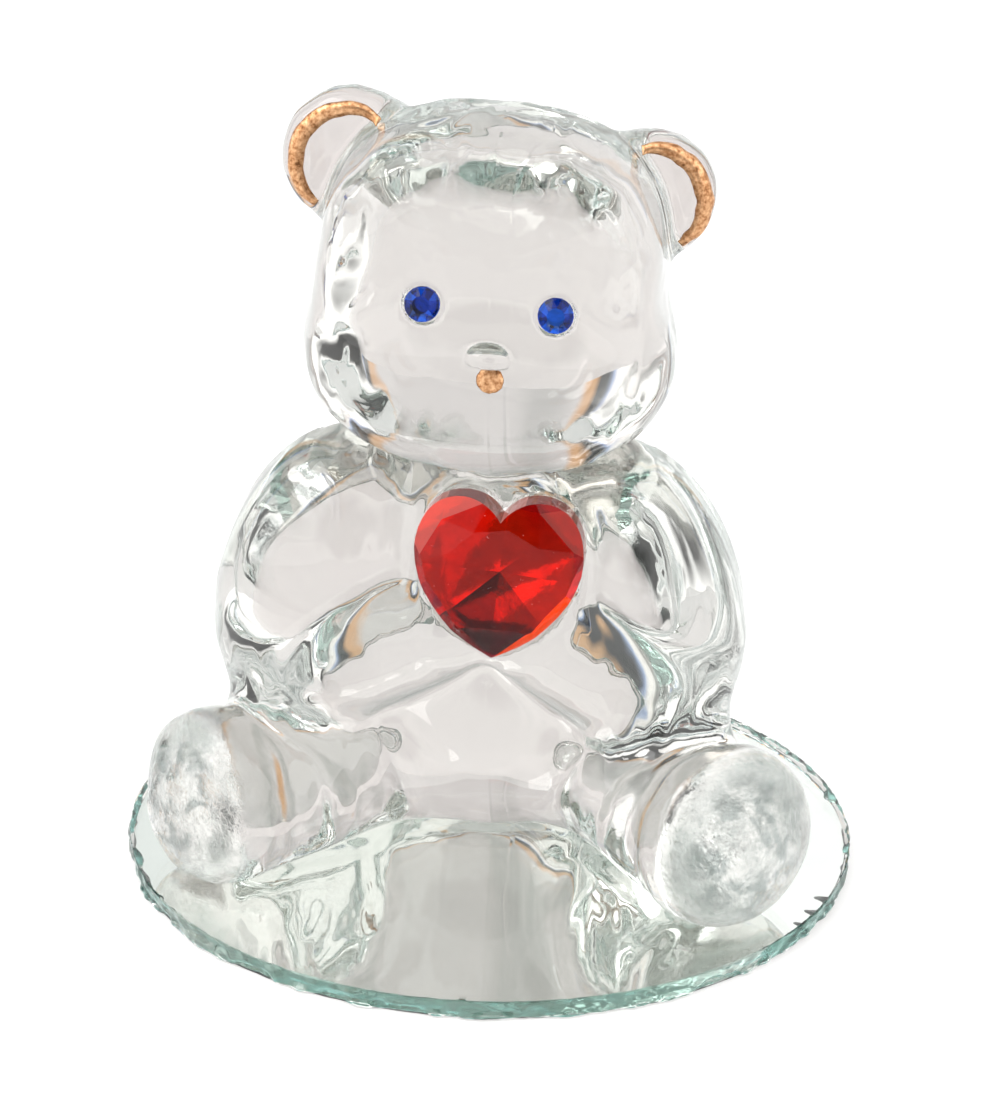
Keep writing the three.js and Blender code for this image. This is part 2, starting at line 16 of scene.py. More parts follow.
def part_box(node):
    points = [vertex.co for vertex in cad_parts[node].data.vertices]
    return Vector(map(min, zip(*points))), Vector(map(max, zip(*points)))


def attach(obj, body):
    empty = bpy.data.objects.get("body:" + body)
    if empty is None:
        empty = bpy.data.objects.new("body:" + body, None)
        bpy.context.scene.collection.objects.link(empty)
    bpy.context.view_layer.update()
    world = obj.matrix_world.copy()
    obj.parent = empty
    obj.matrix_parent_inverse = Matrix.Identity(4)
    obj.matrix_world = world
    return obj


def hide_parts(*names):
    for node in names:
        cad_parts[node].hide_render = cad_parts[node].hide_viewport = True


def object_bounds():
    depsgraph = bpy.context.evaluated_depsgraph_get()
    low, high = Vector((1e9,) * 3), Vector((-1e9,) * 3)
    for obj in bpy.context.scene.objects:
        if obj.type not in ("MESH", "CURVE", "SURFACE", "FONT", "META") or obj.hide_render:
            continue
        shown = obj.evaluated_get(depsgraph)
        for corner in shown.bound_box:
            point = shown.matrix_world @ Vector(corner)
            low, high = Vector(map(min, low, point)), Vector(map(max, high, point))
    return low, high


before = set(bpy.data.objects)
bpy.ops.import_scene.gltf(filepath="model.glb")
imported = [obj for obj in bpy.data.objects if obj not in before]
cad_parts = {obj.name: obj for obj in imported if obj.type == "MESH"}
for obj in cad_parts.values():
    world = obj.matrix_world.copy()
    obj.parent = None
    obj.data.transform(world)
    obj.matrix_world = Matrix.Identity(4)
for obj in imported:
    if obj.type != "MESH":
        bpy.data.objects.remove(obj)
CAD_LOW, CAD_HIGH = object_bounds()

MM = 0.001
MIRROR_LOW, MIRROR_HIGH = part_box("mirror_glass")
MIRROR_TOP = MIRROR_HIGH.z / MM
MIRROR_RADIUS = (MIRROR_HIGH.x - MIRROR_LOW.x) / 2 / MM


# ---------- numbers and noise ----------

def vec(*values):
    return np.array(values, float)


def unit(v):
    return v / np.linalg.norm(v)


def turn(axis, degrees):
    a = math.radians(degrees)
    c, s = math.cos(a), math.sin(a)
    return {
        "x": np.array([[1, 0, 0], [0, c, -s], [0, s, c]]),
        "y": np.array([[c, 0, s], [0, 1, 0], [-s, 0, c]]),
        "z": np.array([[c, -s, 0], [s, c, 0], [0, 0, 1]]),
    }[axis]


def lattice(cell):
    """A fixed pseudo-random number from 0 to 1 for each whole-number cell."""
    wave = np.sin(cell @ vec(12.9898, 78.233, 37.719)) * 43758.5453
    return wave - np.floor(wave)


def value_noise(p, size, seed=0.0):
    """Smooth noise from -1 to 1 with lumps of about the given size."""
    q = p / size + seed
    whole = np.floor(q)
    share = q - whole
    share = share * share * (3 - 2 * share)
    total = 0
    for corner in np.ndindex(2, 2, 2):
        weight = np.prod(np.where(np.array(corner) == 1, share, 1 - share), axis=-1)
        total = total + weight * lattice(whole + np.array(corner))
    return 2 * total - 1


# ---------- signed distances, negative inside ----------

def length(v):
    return np.sqrt((v * v).sum(-1))


def smooth_min(a, b, width):
    share = np.clip(0.5 + 0.5 * (b - a) / width, 0, 1)
    return b + (a - b) * share - width * share * (1 - share)


def smooth_max(a, b, width):
    return -smooth_min(-a, -b, width)


def ellipsoid(p, centre, radii, matrix=None, power=2.0):
    q = p - centre
    if matrix is not None:
        q = q @ matrix
    q = np.abs(q / radii)
    level = np.maximum((q**power).sum(-1) ** (1 / power), 1e-9)
    slope = length(q ** (power - 1) / radii) * level ** (1 - power)
    return (level - 1) / np.maximum(slope, 1e-9)


def cushion(p, centre, radii, powers, lean=0.0):
    """An ellipsoid squared off in its x-z outline and, separately, flattened in front and behind.

    The radii are across, in front, behind and up. The powers are those of the outline, the front and the
    back: 2 is round and more is flatter. Lean lowers the back half, the more the further back it is.
    """
    round_power, front_power, back_power = powers
    q = p - centre
    q = np.stack([q[:, 0], q[:, 1], q[:, 2] + lean * np.maximum(q[:, 1], 0)], -1)
    flat_power = np.where(q[:, 1] < 0, front_power, back_power)
    depth = np.where(q[:, 1] < 0, radii[1], radii[2])
    q = np.abs(q / np.stack([np.full(len(q), radii[0]), depth, np.full(len(q), radii[3])], -1))
    outline = np.maximum((q[:, [0, 2]] ** round_power).sum(-1), 1e-12) ** (1 / round_power)
    level = np.maximum(outline**flat_power + q[:, 1] ** flat_power, 1e-12) ** (1 / flat_power)
    pull = (outline / level) ** (flat_power - 1)
    slope_xz = pull[:, None] * (q[:, [0, 2]] / outline[:, None]) ** (round_power - 1) / radii[[0, 3]]
    slope_y = (q[:, 1] / level) ** (flat_power - 1) / depth
    slope = np.sqrt((slope_xz**2).sum(-1) + slope_y**2)
    return (level - 1) / np.maximum(slope, 1e-9)


def limb(p, start, end, start_radius, end_radius):
    along = end - start
    share = np.clip((p - start) @ along / (along @ along), 0, 1)
    reach = length(p - start - share[..., None] * along)
    return reach - (start_radius + (end_radius - start_radius) * share)


def round_disc(p, centre, axis, radius, half, rim):
    q = p - centre
    height = q @ axis
    reach = np.sqrt(np.maximum((q * q).sum(-1) - height * height, 0)) - (radius - rim)
    rise = np.abs(height) - (half - rim)
    outside = np.sqrt(np.maximum(reach, 0) ** 2 + np.maximum(rise, 0) ** 2)
    return np.minimum(np.maximum(reach, rise), 0) + outside - rim


# ---------- the bear's form ----------

TORSO = dict(centre=vec(-0.4, 4.4, 17), radii=vec(14.2, 12, 20.5), matrix=turn("x", 8))
BACK = dict(centre=vec(-1, 4, 19), radii=vec(18.5, 1.5, 10, 14.3), powers=(2.4, 2, 2.3))
ARMS = (
    dict(
        shoulder=vec(11.7, 1, 21.6), radii=vec(7.8, 8.5, 12.6), splay=-20,
        elbow=vec(13.2, -3, 14.4), paw=vec(3.6, -9, 21.2),
    ),
    dict(
        shoulder=vec(-13.8, 1, 21.6), radii=vec(8.5, 8.5, 12.6), splay=20,
        elbow=vec(-14.9, -3, 15), paw=vec(-3.2, -9, 21.2),
    ),
)
ARM_POWER = 2.15
ELBOW_RADIUS, PAW_RADIUS = 5.7, 3.6
LEGS = (
    dict(hip=vec(7, 5.8, 7.2), foot=vec(20.6, -14, 7), facing=unit(vec(0.6, -0.8, 0.1)), radius=7.3),
    dict(hip=vec(-7, 5.8, 7.2), foot=vec(-22.3, -11.6, 6.7), facing=unit(vec(-0.74, -0.67, 0.1)), radius=7.0),
)
HIP_RADIUS, ANKLE_RADIUS = 7.9, 6.5
ANKLE_SETBACK, ANKLE_DROP = 3, 0.9
SOLE_SETBACK, SOLE_HALF, SOLE_RIM = 1.2, 2.6, 2.2
HEAD_CENTRE = vec(-0.7, 0.5, 45.8)
HEAD_TURN = turn("y", 2.5)
SKULL = dict(centre=vec(0, 0.5, 2.1), radii=vec(13.5, 12, 13.2, 13.8), powers=(2.7, 5, 2), lean=0.28)
JAW = dict(centre=vec(0.3, -1, -3.3), radii=vec(14.5, 11.9, 11.9, 7.6), powers=(2.2, 3, 2))
NUB = dict(centre=vec(0.85, -12.8, -0.5), radii=vec(1.8, 1.3, 1.3))
NUB_FLOOR = 0.9  # the nub is cut level this far below the head's own middle
EARS = (
    dict(name="left", centre=vec(11.7, 2, 9.2), radius=5.0, gold=(-52, 104), band=(3.45, 4.75)),
    dict(name="right", centre=vec(-11.9, 2, 10.1), radius=5.4, gold=(58, 236), band=(3.5, 4.8)),
)  # gold: from and to, in degrees round the ear; band: its inner and outer radius
EAR_FACING = unit(vec(0, -1, 0.1))
EAR_HALF, EAR_RIM = 2.4, 2.0
DISH_RADIUS = 9.0
DISH_DEPTH = 0.8
HEART_SEAT = vec(1.2, -9.9, 27)
HEART_TURN = turn("x", 90 - 7) @ turn("z", -2.5)
HEART_FACING = HEART_TURN[:, 2]
HEART_SIZE = (13.2, 12.9)
HEART_BED = -1.27  # bottom of the pocket behind the heart's seat plane
HEART_CLEARANCE = 0.12
HEART_NEAR = (11, 7)  # no part of the heart's pocket is further out or deeper than this
PAD_RADIUS, PAD_HALF, PAD_RIM = 6.2, 2.5, 1.5
PAD_RISE = 0.4  # the pad's front is this far in front of the heart's seat
EYE_BED = -0.6
EYE_POCKET = 1.52
SKIN_WAVE = 0.05
FILLET = dict(
    back=2, arm=2, pad=2.5, leg=3.5, sole=1.6, neck=2, jaw=2.5, dish=0.8, ear=1.6,
    nub=0.3, nub_floor=0.2, underside=0.8, heart_pocket=0.15, eye_pocket=0.1,
)


def bezier(a, b, c, d, steps):
    t = np.arange(steps)[:, None] / steps
    return a * (1 - t) ** 3 + 3 * b * t * (1 - t) ** 2 + 3 * c * t * t * (1 - t) + d * t**3


def heart_outline(steps=24):
    """Points round the heart, starting at its notch, point downwards."""
    w, h = HEART_SIZE[0] / 2, HEART_SIZE[1] / 2
    half = [
        (0, 0.74 * h), (0.1 * w, 0.9 * h), (0.26 * w, h), (0.45 * w, h),
        (0.78 * w, h), (w, 0.72 * h), (w, 0.3 * h),
        (w, -0.28 * h), (0.5 * w, -0.78 * h), (0, -h),
    ]
    side = [vec(*point) for point in half]
    right = np.concatenate([bezier(*side[i:i + 4], steps) for i in (0, 3, 6)])
    left = (right * vec(-1, 1))[::-1]
    return np.concatenate([right, [side[9]], left[:-1]])


def polygon_distance(p, outline):
    """Signed distance of 2D points to a closed outline."""
    nearest = np.full(len(p), 1e9)
    inside = np.zeros(len(p), bool)
    for a, b in zip(outline, np.roll(outline, -1, axis=0)):
        edge = b - a
        share = np.clip(((p - a) @ edge) / (edge @ edge), 0, 1)
        gap = p - a - share[:, None] * edge
        nearest = np.minimum(nearest, (gap * gap).sum(-1))
        crosses = (a[1] > p[:, 1]) != (b[1] > p[:, 1])
        rise = edge[1] if edge[1] else 1e-12
        inside ^= crosses & (p[:, 0] < edge[0] * (p[:, 1] - a[1]) / rise + a[0])
    return np.sqrt(nearest) * np.where(inside, -1, 1)


def heart_pocket(p):
    local = (p - HEART_SEAT) @ HEART_TURN
    near = (length(local[:, :2]) < HEART_NEAR[0]) & (np.abs(local[:, 2]) < HEART_NEAR[1])
    gap = np.full(len(p), 5.0)
    flat = polygon_distance(local[near, :2], heart_outline(steps=10)) - HEART_CLEARANCE
    gap[near] = np.maximum(flat, HEART_BED - local[near, 2])
    return gap


def eye_pocket(p, eye):
    local = (p - eye["seat"]) @ eye["turn"]
    return np.maximum(length(local[:, :2]) - EYE_POCKET, EYE_BED - local[:, 2])


HAMMER_NEAR = 9
HAMMER_REACH, HAMMER_FADE = 5.6, 1.2
HAMMER_DEPTH = 0.21
HAMMER_SINK = 0.07


def hammered(p, foot, facing):
    """Lumps pressed into a sole, fading out towards its rim."""
    q = p - foot
    across = length(q - (q @ facing)[:, None] * facing)
    fade = np.clip((HAMMER_REACH - across) / HAMMER_FADE, 0, 1) * np.clip(q @ facing + 1.5, 0, 1)
    lumps = value_noise(p, 1.3) + 0.7 * value_noise(p, 0.75, 7.3)
    return fade * (HAMMER_DEPTH * lumps - HAMMER_SINK)


WINDOWS = (
    (-0.7, 46.3, 11.3, 10.8),
    (-0.4, 10.5, 8.5, 7.5),
    (-17.6, 24, 5.2, 8.5),
    (16.0, 24, 4.8, 8.5),
)  # the clear, even places seen from the front: middle x, z and half sizes
FLOW_SHRINK = vec(1, 0.45, 0.6)
FLOWS = ((0.13, 2.0, 1.3), (0.045, 0.9, 8.1))  # height, lump size and seed


def ripples(p):
    """Flow marks left by the mould, all round the clear places."""
    level = np.full(len(p), 9.0)
    for x, z, half_x, half_z in WINDOWS:
        level = np.minimum(level, np.hypot((p[:, 0] - x) / half_x, (p[:, 2] - z) / half_z))
    mask = np.clip((level - 0.9) / 0.25, 0, 1)
    mask = mask * np.where(p[:, 2] < 33, np.clip((3 - p[:, 1]) / 2, 0, 1), 1)
    flow = p * FLOW_SHRINK
    return mask * sum(height * value_noise(flow, size, seed) for height, size, seed in FLOWS)


def head(p):
    hp = (p - HEAD_CENTRE) @ HEAD_TURN
    d = smooth_min(cushion(hp, **SKULL), cushion(hp, **JAW), FILLET["jaw"])
    for ear in EARS:
        disc = round_disc(hp, ear["centre"], EAR_FACING, ear["radius"], EAR_HALF, EAR_RIM)
        dish_centre = ear["centre"] + EAR_FACING * (EAR_HALF + DISH_RADIUS - DISH_DEPTH)
        disc = smooth_max(disc, DISH_RADIUS - length(hp - dish_centre), FILLET["dish"])
        d = smooth_min(d, disc, FILLET["ear"])
    nub = smooth_max(ellipsoid(hp, **NUB), -hp[:, 2] - NUB_FLOOR, FILLET["nub_floor"])
    return smooth_min(d, nub, FILLET["nub"])


def form(p):
    """The pressed glass without the pockets for the jewels."""
    d = smooth_min(ellipsoid(p, **TORSO), cushion(p, **BACK), FILLET["back"])
    for arm in ARMS:
        upper = ellipsoid(p, arm["shoulder"], arm["radii"], turn("y", arm["splay"]), ARM_POWER)
        d = smooth_min(d, upper, FILLET["arm"])
        d = smooth_min(d, limb(p, arm["elbow"], arm["paw"], ELBOW_RADIUS, PAW_RADIUS), FILLET["arm"])
    pad = HEART_SEAT + (PAD_RISE - PAD_HALF) * HEART_FACING
    d = smooth_min(d, round_disc(p, pad, HEART_FACING, PAD_RADIUS, PAD_HALF, PAD_RIM), FILLET["pad"])
    for leg in LEGS:
        ankle = leg["foot"] - ANKLE_SETBACK * leg["facing"] - vec(0, 0, ANKLE_DROP)
        d = smooth_min(d, limb(p, leg["hip"], ankle, HIP_RADIUS, ANKLE_RADIUS), FILLET["leg"])
        middle = leg["foot"] - SOLE_SETBACK * leg["facing"]
        sole = round_disc(p, middle, leg["facing"], leg["radius"], SOLE_HALF, SOLE_RIM)
        d = smooth_min(d, sole, FILLET["sole"])
    d = smooth_min(d, head(p), FILLET["neck"])
    d = d + SKIN_WAVE * value_noise(p, 5.0, 3.1) + ripples(p)
    return smooth_max(d, -p[:, 2], FILLET["underside"])


def glass(p):
    """The whole bear: the form with its hammered soles and the pockets for the jewels."""
    d = form(p)
    for leg in LEGS:
        near = length(p - leg["foot"]) < HAMMER_NEAR
        d[near] += hammered(p[near], leg["foot"], leg["facing"])
    d = smooth_max(d, -heart_pocket(p), FILLET["heart_pocket"])
    for eye in EYES:
        d = smooth_max(d, -eye_pocket(p, eye), FILLET["eye_pocket"])
    return d


SLOPE_STEP = 0.02
DROP_STEPS, DROP_SHARE = 70, 0.8


def slope_of(field, p):
    slope = np.empty_like(p)
    for axis in range(3):
        shift = np.zeros(3)
        shift[axis] = SLOPE_STEP
        slope[:, axis] = field(p + shift) - field(p - shift)
    return slope / np.maximum(length(slope), 1e-9)[:, None]


def drop_onto(field, p, way):
    """Moves points one way until they meet the form."""
    p = np.array(p, float)
    for _ in range(DROP_STEPS):
        p = p + np.asarray(way) * (field(p) * DROP_SHARE)[:, None]
    return p


EYES = [
    dict(name="left", near=vec(5.1, -20, 48.7)),
    dict(name="right", near=vec(-5.0, -20, 49.1)),
]
for eye in EYES:
    seat = drop_onto(form, eye["near"][None], (0, 1, 0))
    normal = slope_of(form, seat)[0]
    across = unit(np.cross(vec(0, 0, 1), normal))
    eye["seat"] = seat[0]
    eye["turn"] = np.stack([across, np.cross(normal, across), normal], 1)


# ---------- meshing ----------

CORNERS = [(i, j, k) for i in (0, 1) for j in (0, 1) for k in (0, 1)]
STRIDE = 4


def sampled(field, low, counts, cell):
    """The field on a grid, worked out only near the surface; elsewhere just its sign."""
    def points(index):
        return low + cell * index

    coarse_counts = (counts - 1) // STRIDE + 2
    coarse_index = np.stack(np.meshgrid(*[np.arange(n) for n in coarse_counts], indexing="ij"), -1)
    coarse = field(points(coarse_index.reshape(-1, 3) * STRIDE)).reshape(coarse_counts)
    nearest = [
        np.minimum(np.round(np.arange(count) / STRIDE).astype(int), coarse_count - 1)
        for count, coarse_count in zip(counts, coarse_counts)
    ]
    spread = coarse[np.ix_(*nearest)]
    values = np.where(spread < 0, -1.0, 1.0)
    band = np.argwhere(np.abs(spread) < 2.0 * STRIDE * cell)
    for part in np.array_split(band, max(1, len(band) // 200_000)):
        values[tuple(part.T)] = field(points(part))
    return values


def surface_net(field, low, high, cell, relax=2):
    """(vertices, quads) of the closed surface of a field, one vertex in each cell that it passes through."""
    counts = np.ceil((high - low) / cell).astype(int) + 1
    values = sampled(field, low, counts, cell)
    inside = values < 0
    cells = np.zeros(counts - 1, int)
    for i, j, k in CORNERS:
        cells += inside[i:i + counts[0] - 1, j:j + counts[1] - 1, k:k + counts[2] - 1]
    mixed = np.argwhere((cells > 0) & (cells < 8))
    number = np.full(counts - 1, -1)
    number[tuple(mixed.T)] = np.arange(len(mixed))
    total, crossings = np.zeros((len(mixed), 3)), np.zeros(len(mixed))
    for a in CORNERS:
        for axis in range(3):
            if a[axis]:
                continue
            b = tuple(1 if n == axis else side for n, side in enumerate(a))
            va = values[tuple((mixed + a).T)]
            vb = values[tuple((mixed + b).T)]
            cross = (va < 0) != (vb < 0)
            share = np.where(cross, va / np.where(cross, va - vb, 1), 0)
            point = mixed + a + share[:, None] * (np.array(b) - a)
            total += np.where(cross[:, None], point, 0)
            crossings += cross
    vertices = low + cell * total / crossings[:, None]
    quads = []
    for axis in range(3):
        step = np.eye(3, dtype=int)[axis]
        u, v = np.eye(3, dtype=int)[(axis + 1) % 3], np.eye(3, dtype=int)[(axis + 2) % 3]
        here = inside[tuple(slice(1, n - 1) for n in counts)]
        there = inside[tuple(slice(1 + s, n - 1 + s) for n, s in zip(counts, step))]
        for start_inside in (True, False):
            edge = np.argwhere((here != there) & (here == start_inside)) + 1
            loop = [edge - u - v, edge - v, edge, edge - u]
            if not start_inside:
                loop.reverse()
            quads.append(np.stack([number[tuple(corner.T)] for corner in loop], 1))
    quads = np.concatenate(quads)
    for round_number in range(relax + 1):
        if round_number:
            vertices = relaxed(vertices, quads)
        for _ in range(2):
            vertices = vertices - slope_of(field, vertices) * np.clip(field(vertices), -cell, cell)[:, None]
    return vertices, quads


def relaxed(vertices, quads):
    """Each vertex moved halfway to the middle of its neighbours."""
    total, count = np.zeros_like(vertices), np.zeros(len(vertices))
    for n in range(4):
        a, b = quads[:, n], quads[:, (n + 1) % 4]
        for axis in range(3):
            total[:, axis] += np.bincount(a, vertices[b, axis], len(vertices))
            total[:, axis] += np.bincount(b, vertices[a, axis], len(vertices))
        count += np.bincount(a, minlength=len(vertices)) + np.bincount(b, minlength=len(vertices))
    return 0.5 * vertices + 0.5 * total / count[:, None]


def make_object(name, vertices, faces, material, smooth=True):
    """A mesh object from points in millimetres above the mirror's top face."""
    mesh = bpy.data.meshes.new(name)
    placed = (np.asarray(vertices) + vec(0, 0, MIRROR_TOP)) * MM
    mesh.from_pydata(placed.tolist(), [], faces.tolist() if isinstance(faces, np.ndarray) else faces)
    mesh.validate()
    mesh.polygons.foreach_set("use_smooth", [smooth] * len(mesh.polygons))
    mesh.materials.append(material)
    made = bpy.data.objects.new(name, mesh)
    bpy.context.scene.collection.objects.link(made)
    return made


def settle(piece, slot, *nodes):
    """Hides the nodes that a piece stands for and attaches the piece to the root body; the material slot it
    is given is not used.
    """
    if nodes:
        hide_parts(*nodes)
    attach(piece, "root")
    return piece


# ---------- materials ----------

BLACK, WHITE = (0.0,) * 3, (1.0,) * 3
SEAM_X = 0.2
SEAM_WIDTH = 0.22
SOLE_MIDDLE = 1.2  # the chilled bump and the painted shade mottle of a sole are centred this far in front of the foot's own point
SOLE_CLEAR = (0.0048, 0.0058)  # metres from a sole's middle where its chilled bump and painted shade mottle start to fade and end

# Round the heart, seen from the front, by way of its left, below, right and above: share of the turn, the
# glass colour with painted light and shade for each facet, and its painted flash.
RUBY_FACET_LIGHT = (
    (0.00, (0.30, 0.0, 0.0), (0.02, 0.0, 0.0)),
    (0.08, (0.16, 0.0, 0.003), (0.01, 0.0, 0.0)),
    (0.22, (0.13, 0.0, 0.003), (0.0, 0.0, 0.0)),
    (0.30, (0.60, 0.012, 0.0), (0.34, 0.018, 0.0)),
    (0.44, (0.36, 0.0, 0.0), (0.03, 0.0, 0.0)),
    (0.57, (0.42, 0.0, 0.0), (0.07, 0.02, 0.012)),
    (0.67, (0.34, 0.0, 0.0), (0.02, 0.0, 0.0)),
    (0.81, (0.45, 0.005, 0.004), (0.20, 0.075, 0.065)),
    (0.96, (0.30, 0.0, 0.0), (0.02, 0.0, 0.0)),
)
# The girdle's colour round the turn: partly its own, grey-mauve from the right over the top, and partly
# painted light and shade, dark red on the left and lit orange below and towards the right.
RUBY_WALL_COLOUR_AND_LIGHT = (
    (0.00, (0.10, 0.02, 0.02)), (0.12, (0.30, 0.01, 0.0)), (0.30, (0.75, 0.08, 0.0)),
    (0.46, (0.50, 0.03, 0.0)), (0.56, (0.10, 0.03, 0.035)), (1.00, (0.09, 0.03, 0.035)),
)


class Shader:
    """A Principled material, with small helpers for the nodes that drive it."""

    def __init__(self, name, base, roughness, metallic=0.0, transmission=0.0, ior=1.5):
        self.material = bpy.data.materials.new(name)
        self.material.use_nodes = True
        self.nodes = self.material.node_tree.nodes
        self.links = self.material.node_tree.links
        self.bsdf = self.nodes["Principled BSDF"]
        self.set("Base Color", (*base, 1.0))
        self.set("Roughness", roughness)
        self.set("Metallic", metallic)
        self.set("Transmission Weight", transmission)
        self.set("IOR", ior)
        geometry = self.nodes.new("ShaderNodeNewGeometry")
        self.place, self.facet = geometry.outputs["Position"], geometry.outputs["True Normal"]

    def set(self, socket, value):
        self.bsdf.inputs[socket].default_value = value

    def link(self, out, into):
        self.links.new(out, into)

    def noise(self, scale, detail=2.0, roughness=0.5, distortion=0.0, vector=None):
        node = self.nodes.new("ShaderNodeTexNoise")
        node.inputs["Scale"].default_value = scale
        node.inputs["Detail"].default_value = detail
        node.inputs["Roughness"].default_value = roughness
        node.inputs["Distortion"].default_value = distortion
        self.link(vector or self.place, node.inputs["Vector"])
        return node.outputs["Fac"]

    def lean(self, axis):
        """How far a facet leans towards a direction, from -1 to 1."""
        dot = self.nodes.new("ShaderNodeVectorMath")
        dot.operation = "DOT_PRODUCT"
        dot.inputs[1].default_value = axis
        self.link(self.facet, dot.inputs[0])
        return dot.outputs["Value"]

    def math(self, operation, a, b=0.0):
        node = self.nodes.new("ShaderNodeMath")
        node.operation = operation
        for socket, value in zip(node.inputs, (a, b)):
            if isinstance(value, (int, float)):
                socket.default_value = value
            else:
                self.link(value, socket)
        return node.outputs[0]

    def ramp(self, fac, stops, interpolation="LINEAR"):
        node = self.nodes.new("ShaderNodeValToRGB")
        node.color_ramp.interpolation = interpolation
        elements = node.color_ramp.elements
        while len(elements) < len(stops):
            elements.new(0.5)
        for element, (position, colour) in zip(elements, stops):
            element.position = position
            element.color = (*colour, 1.0)
        self.link(fac, node.inputs["Fac"])
        return node.outputs["Color"]

    def radius_from_axis(self):
        """Distance from the vertical axis through the mirror's centre."""
        flat = self.nodes.new("ShaderNodeVectorMath")
        flat.operation = "MULTIPLY"
        flat.inputs[1].default_value = (1, 1, 0)
        self.link(self.place, flat.inputs[0])
        reach = self.nodes.new("ShaderNodeVectorMath")
        reach.operation = "LENGTH"
        self.link(flat.outputs["Vector"], reach.inputs[0])
        return reach.outputs["Value"]

    def near_soles(self):
        """1 on the two soles, fading to 0 just inside their rims."""
        total = None
        for leg in LEGS:
            centre = (leg["foot"] + SOLE_MIDDLE * leg["facing"] + vec(0, 0, MIRROR_TOP)) * MM
            away = self.nodes.new("ShaderNodeVectorMath")
            away.operation = "DISTANCE"
            away.inputs[1].default_value = centre
            self.link(self.place, away.inputs[0])
            mask = self.ramp(away.outputs["Value"], list(zip(SOLE_CLEAR, (WHITE, BLACK))))
            total = mask if total is None else self.math("MAXIMUM", total, mask)
        return total

    def seam(self):
        """The thin ridge where the halves of the mould met, down the middle of the bear."""
        split = self.nodes.new("ShaderNodeSeparateXYZ")
        self.link(self.place, split.inputs[0])
        offset = self.math("ADD", split.outputs["X"], -SEAM_X * MM)
        away = self.math("ABSOLUTE", offset)
        return self.ramp(self.math("MULTIPLY", away, 1000 / SEAM_WIDTH), [(0.0, WHITE), (1.0, BLACK)])

    def absorb(self, colour, density):
        """Tints light the further it travels inside."""
        node = self.nodes.new("ShaderNodeVolumeAbsorption")
        node.inputs["Color"].default_value = (*colour, 1)
        node.inputs["Density"].default_value = density
        self.link(node.outputs[0], self.nodes["Material Output"].inputs["Volume"])

    def mix(self, fac, a, b):
        node = self.nodes.new("ShaderNodeMix")
        node.data_type = "RGBA"
        for socket, value in zip((node.inputs[0], node.inputs[6], node.inputs[7]), (fac, a, b)):
            self.link(value, socket)
        return node.outputs[2]

    def bump(self, height, strength, distance):
        node = self.nodes.new("ShaderNodeBump")
        node.inputs["Strength"].default_value = strength
        node.inputs["Distance"].default_value = distance
        self.link(height, node.inputs["Height"])
        self.link(node.outputs["Normal"], self.bsdf.inputs["Normal"])


GLASS_TINT = (0.585, 0.545, 0.53)
GLASS_IOR = 1.5
WAVE_SHARE, SEAM_SHARE, CHILL_SHARE = 0.6, 0.12, 2.2


def clear_glass():
    """Pressed glass: painted shade makes it darker where it turns away and in a mottle on the soles; faintly
    waved, with the seam and the chilled soles.
    """
    shader = Shader("clear_glass", GLASS_TINT, 0.0, transmission=1.0, ior=GLASS_IOR)
    shader.absorb((0.0, 0.72, 0.62), 1.4)
    # Painted shade: the glass's colour darkens to grey and near black where its surface turns away from the
    # view.
    edge = shader.nodes.new("ShaderNodeLayerWeight").outputs["Facing"]
    tint = shader.ramp(edge, [(0.60, GLASS_TINT), (0.80, (0.42, 0.43, 0.42)), (1.0, (0.05, 0.06, 0.06))])
    # Painted shade on the soles: dark grey patches in a fine mottle, standing in for light the chilled glass
    # turns away.
    sole_shade_mottle = shader.ramp(
        shader.noise(420, 3.0, 0.6, 0.5), [(0.42, (0.15, 0.165, 0.16)), (0.56, (0.51, 0.49, 0.475))]
    )
    shader.link(shader.mix(shader.near_soles(), tint, sole_shade_mottle), shader.bsdf.inputs["Base Color"])
    waves = shader.math("MULTIPLY", shader.noise(140, 1.5, 0.4, 0.3), WAVE_SHARE)
    waves = shader.math("ADD", waves, shader.math("MULTIPLY", shader.seam(), SEAM_SHARE))
    chill = shader.math("MULTIPLY", shader.noise(2400, 3.0, 0.7, 0.4), shader.near_soles())
    shader.bump(shader.math("ADD", waves, shader.math("MULTIPLY", chill, CHILL_SHARE)), 0.35, 0.0003)
    return shader.material


def mirror_glass():
    """Green-edged sheet glass, polished on its faces and slightly rough on its cut edge."""
    shader = Shader("mirror_glass", (1.0, 0.97, 0.95), 0.0, transmission=1.0, ior=GLASS_IOR)
    shader.absorb((0.0, 0.52, 0.46), 24.0)
    rim = shader.ramp(shader.radius_from_axis(), [(0.02972, BLACK), (0.02985, (0.14,) * 3)])
    shader.link(rim, shader.bsdf.inputs["Roughness"])
    shader.bump(shader.noise(60, 1.0, 0.4), 0.03, 0.0002)
    return shader.material


def silvering():
    shader = Shader("silvering", (0.86, 0.88, 0.88), 0.02, metallic=1.0)
    tint = shader.ramp(shader.noise(90, 3.0), [(0.35, (0.90, 0.92, 0.91)), (0.7, (0.95, 0.96, 0.95))])
    shader.link(tint, shader.bsdf.inputs["Base Color"])
    return shader.material


def backing_paint():
    shader = Shader("backing_paint", (0.03, 0.03, 0.03), 0.5)
    tint = shader.ramp(shader.noise(300, 3.0), [(0.3, (0.02, 0.021, 0.022)), (0.7, (0.05, 0.052, 0.053))])
    shader.link(tint, shader.bsdf.inputs["Base Color"])
    shader.bump(shader.noise(900, 2.0), 0.2, 0.0001)
    return shader.material


def clear_adhesive():
    shader = Shader("clear_adhesive", (0.97, 0.97, 0.96), 0.0, transmission=1.0, ior=GLASS_IOR)
    shader.bump(shader.noise(500, 2.0), 0.1, 0.0001)
    return shader.material


STONE_IOR = 1.3


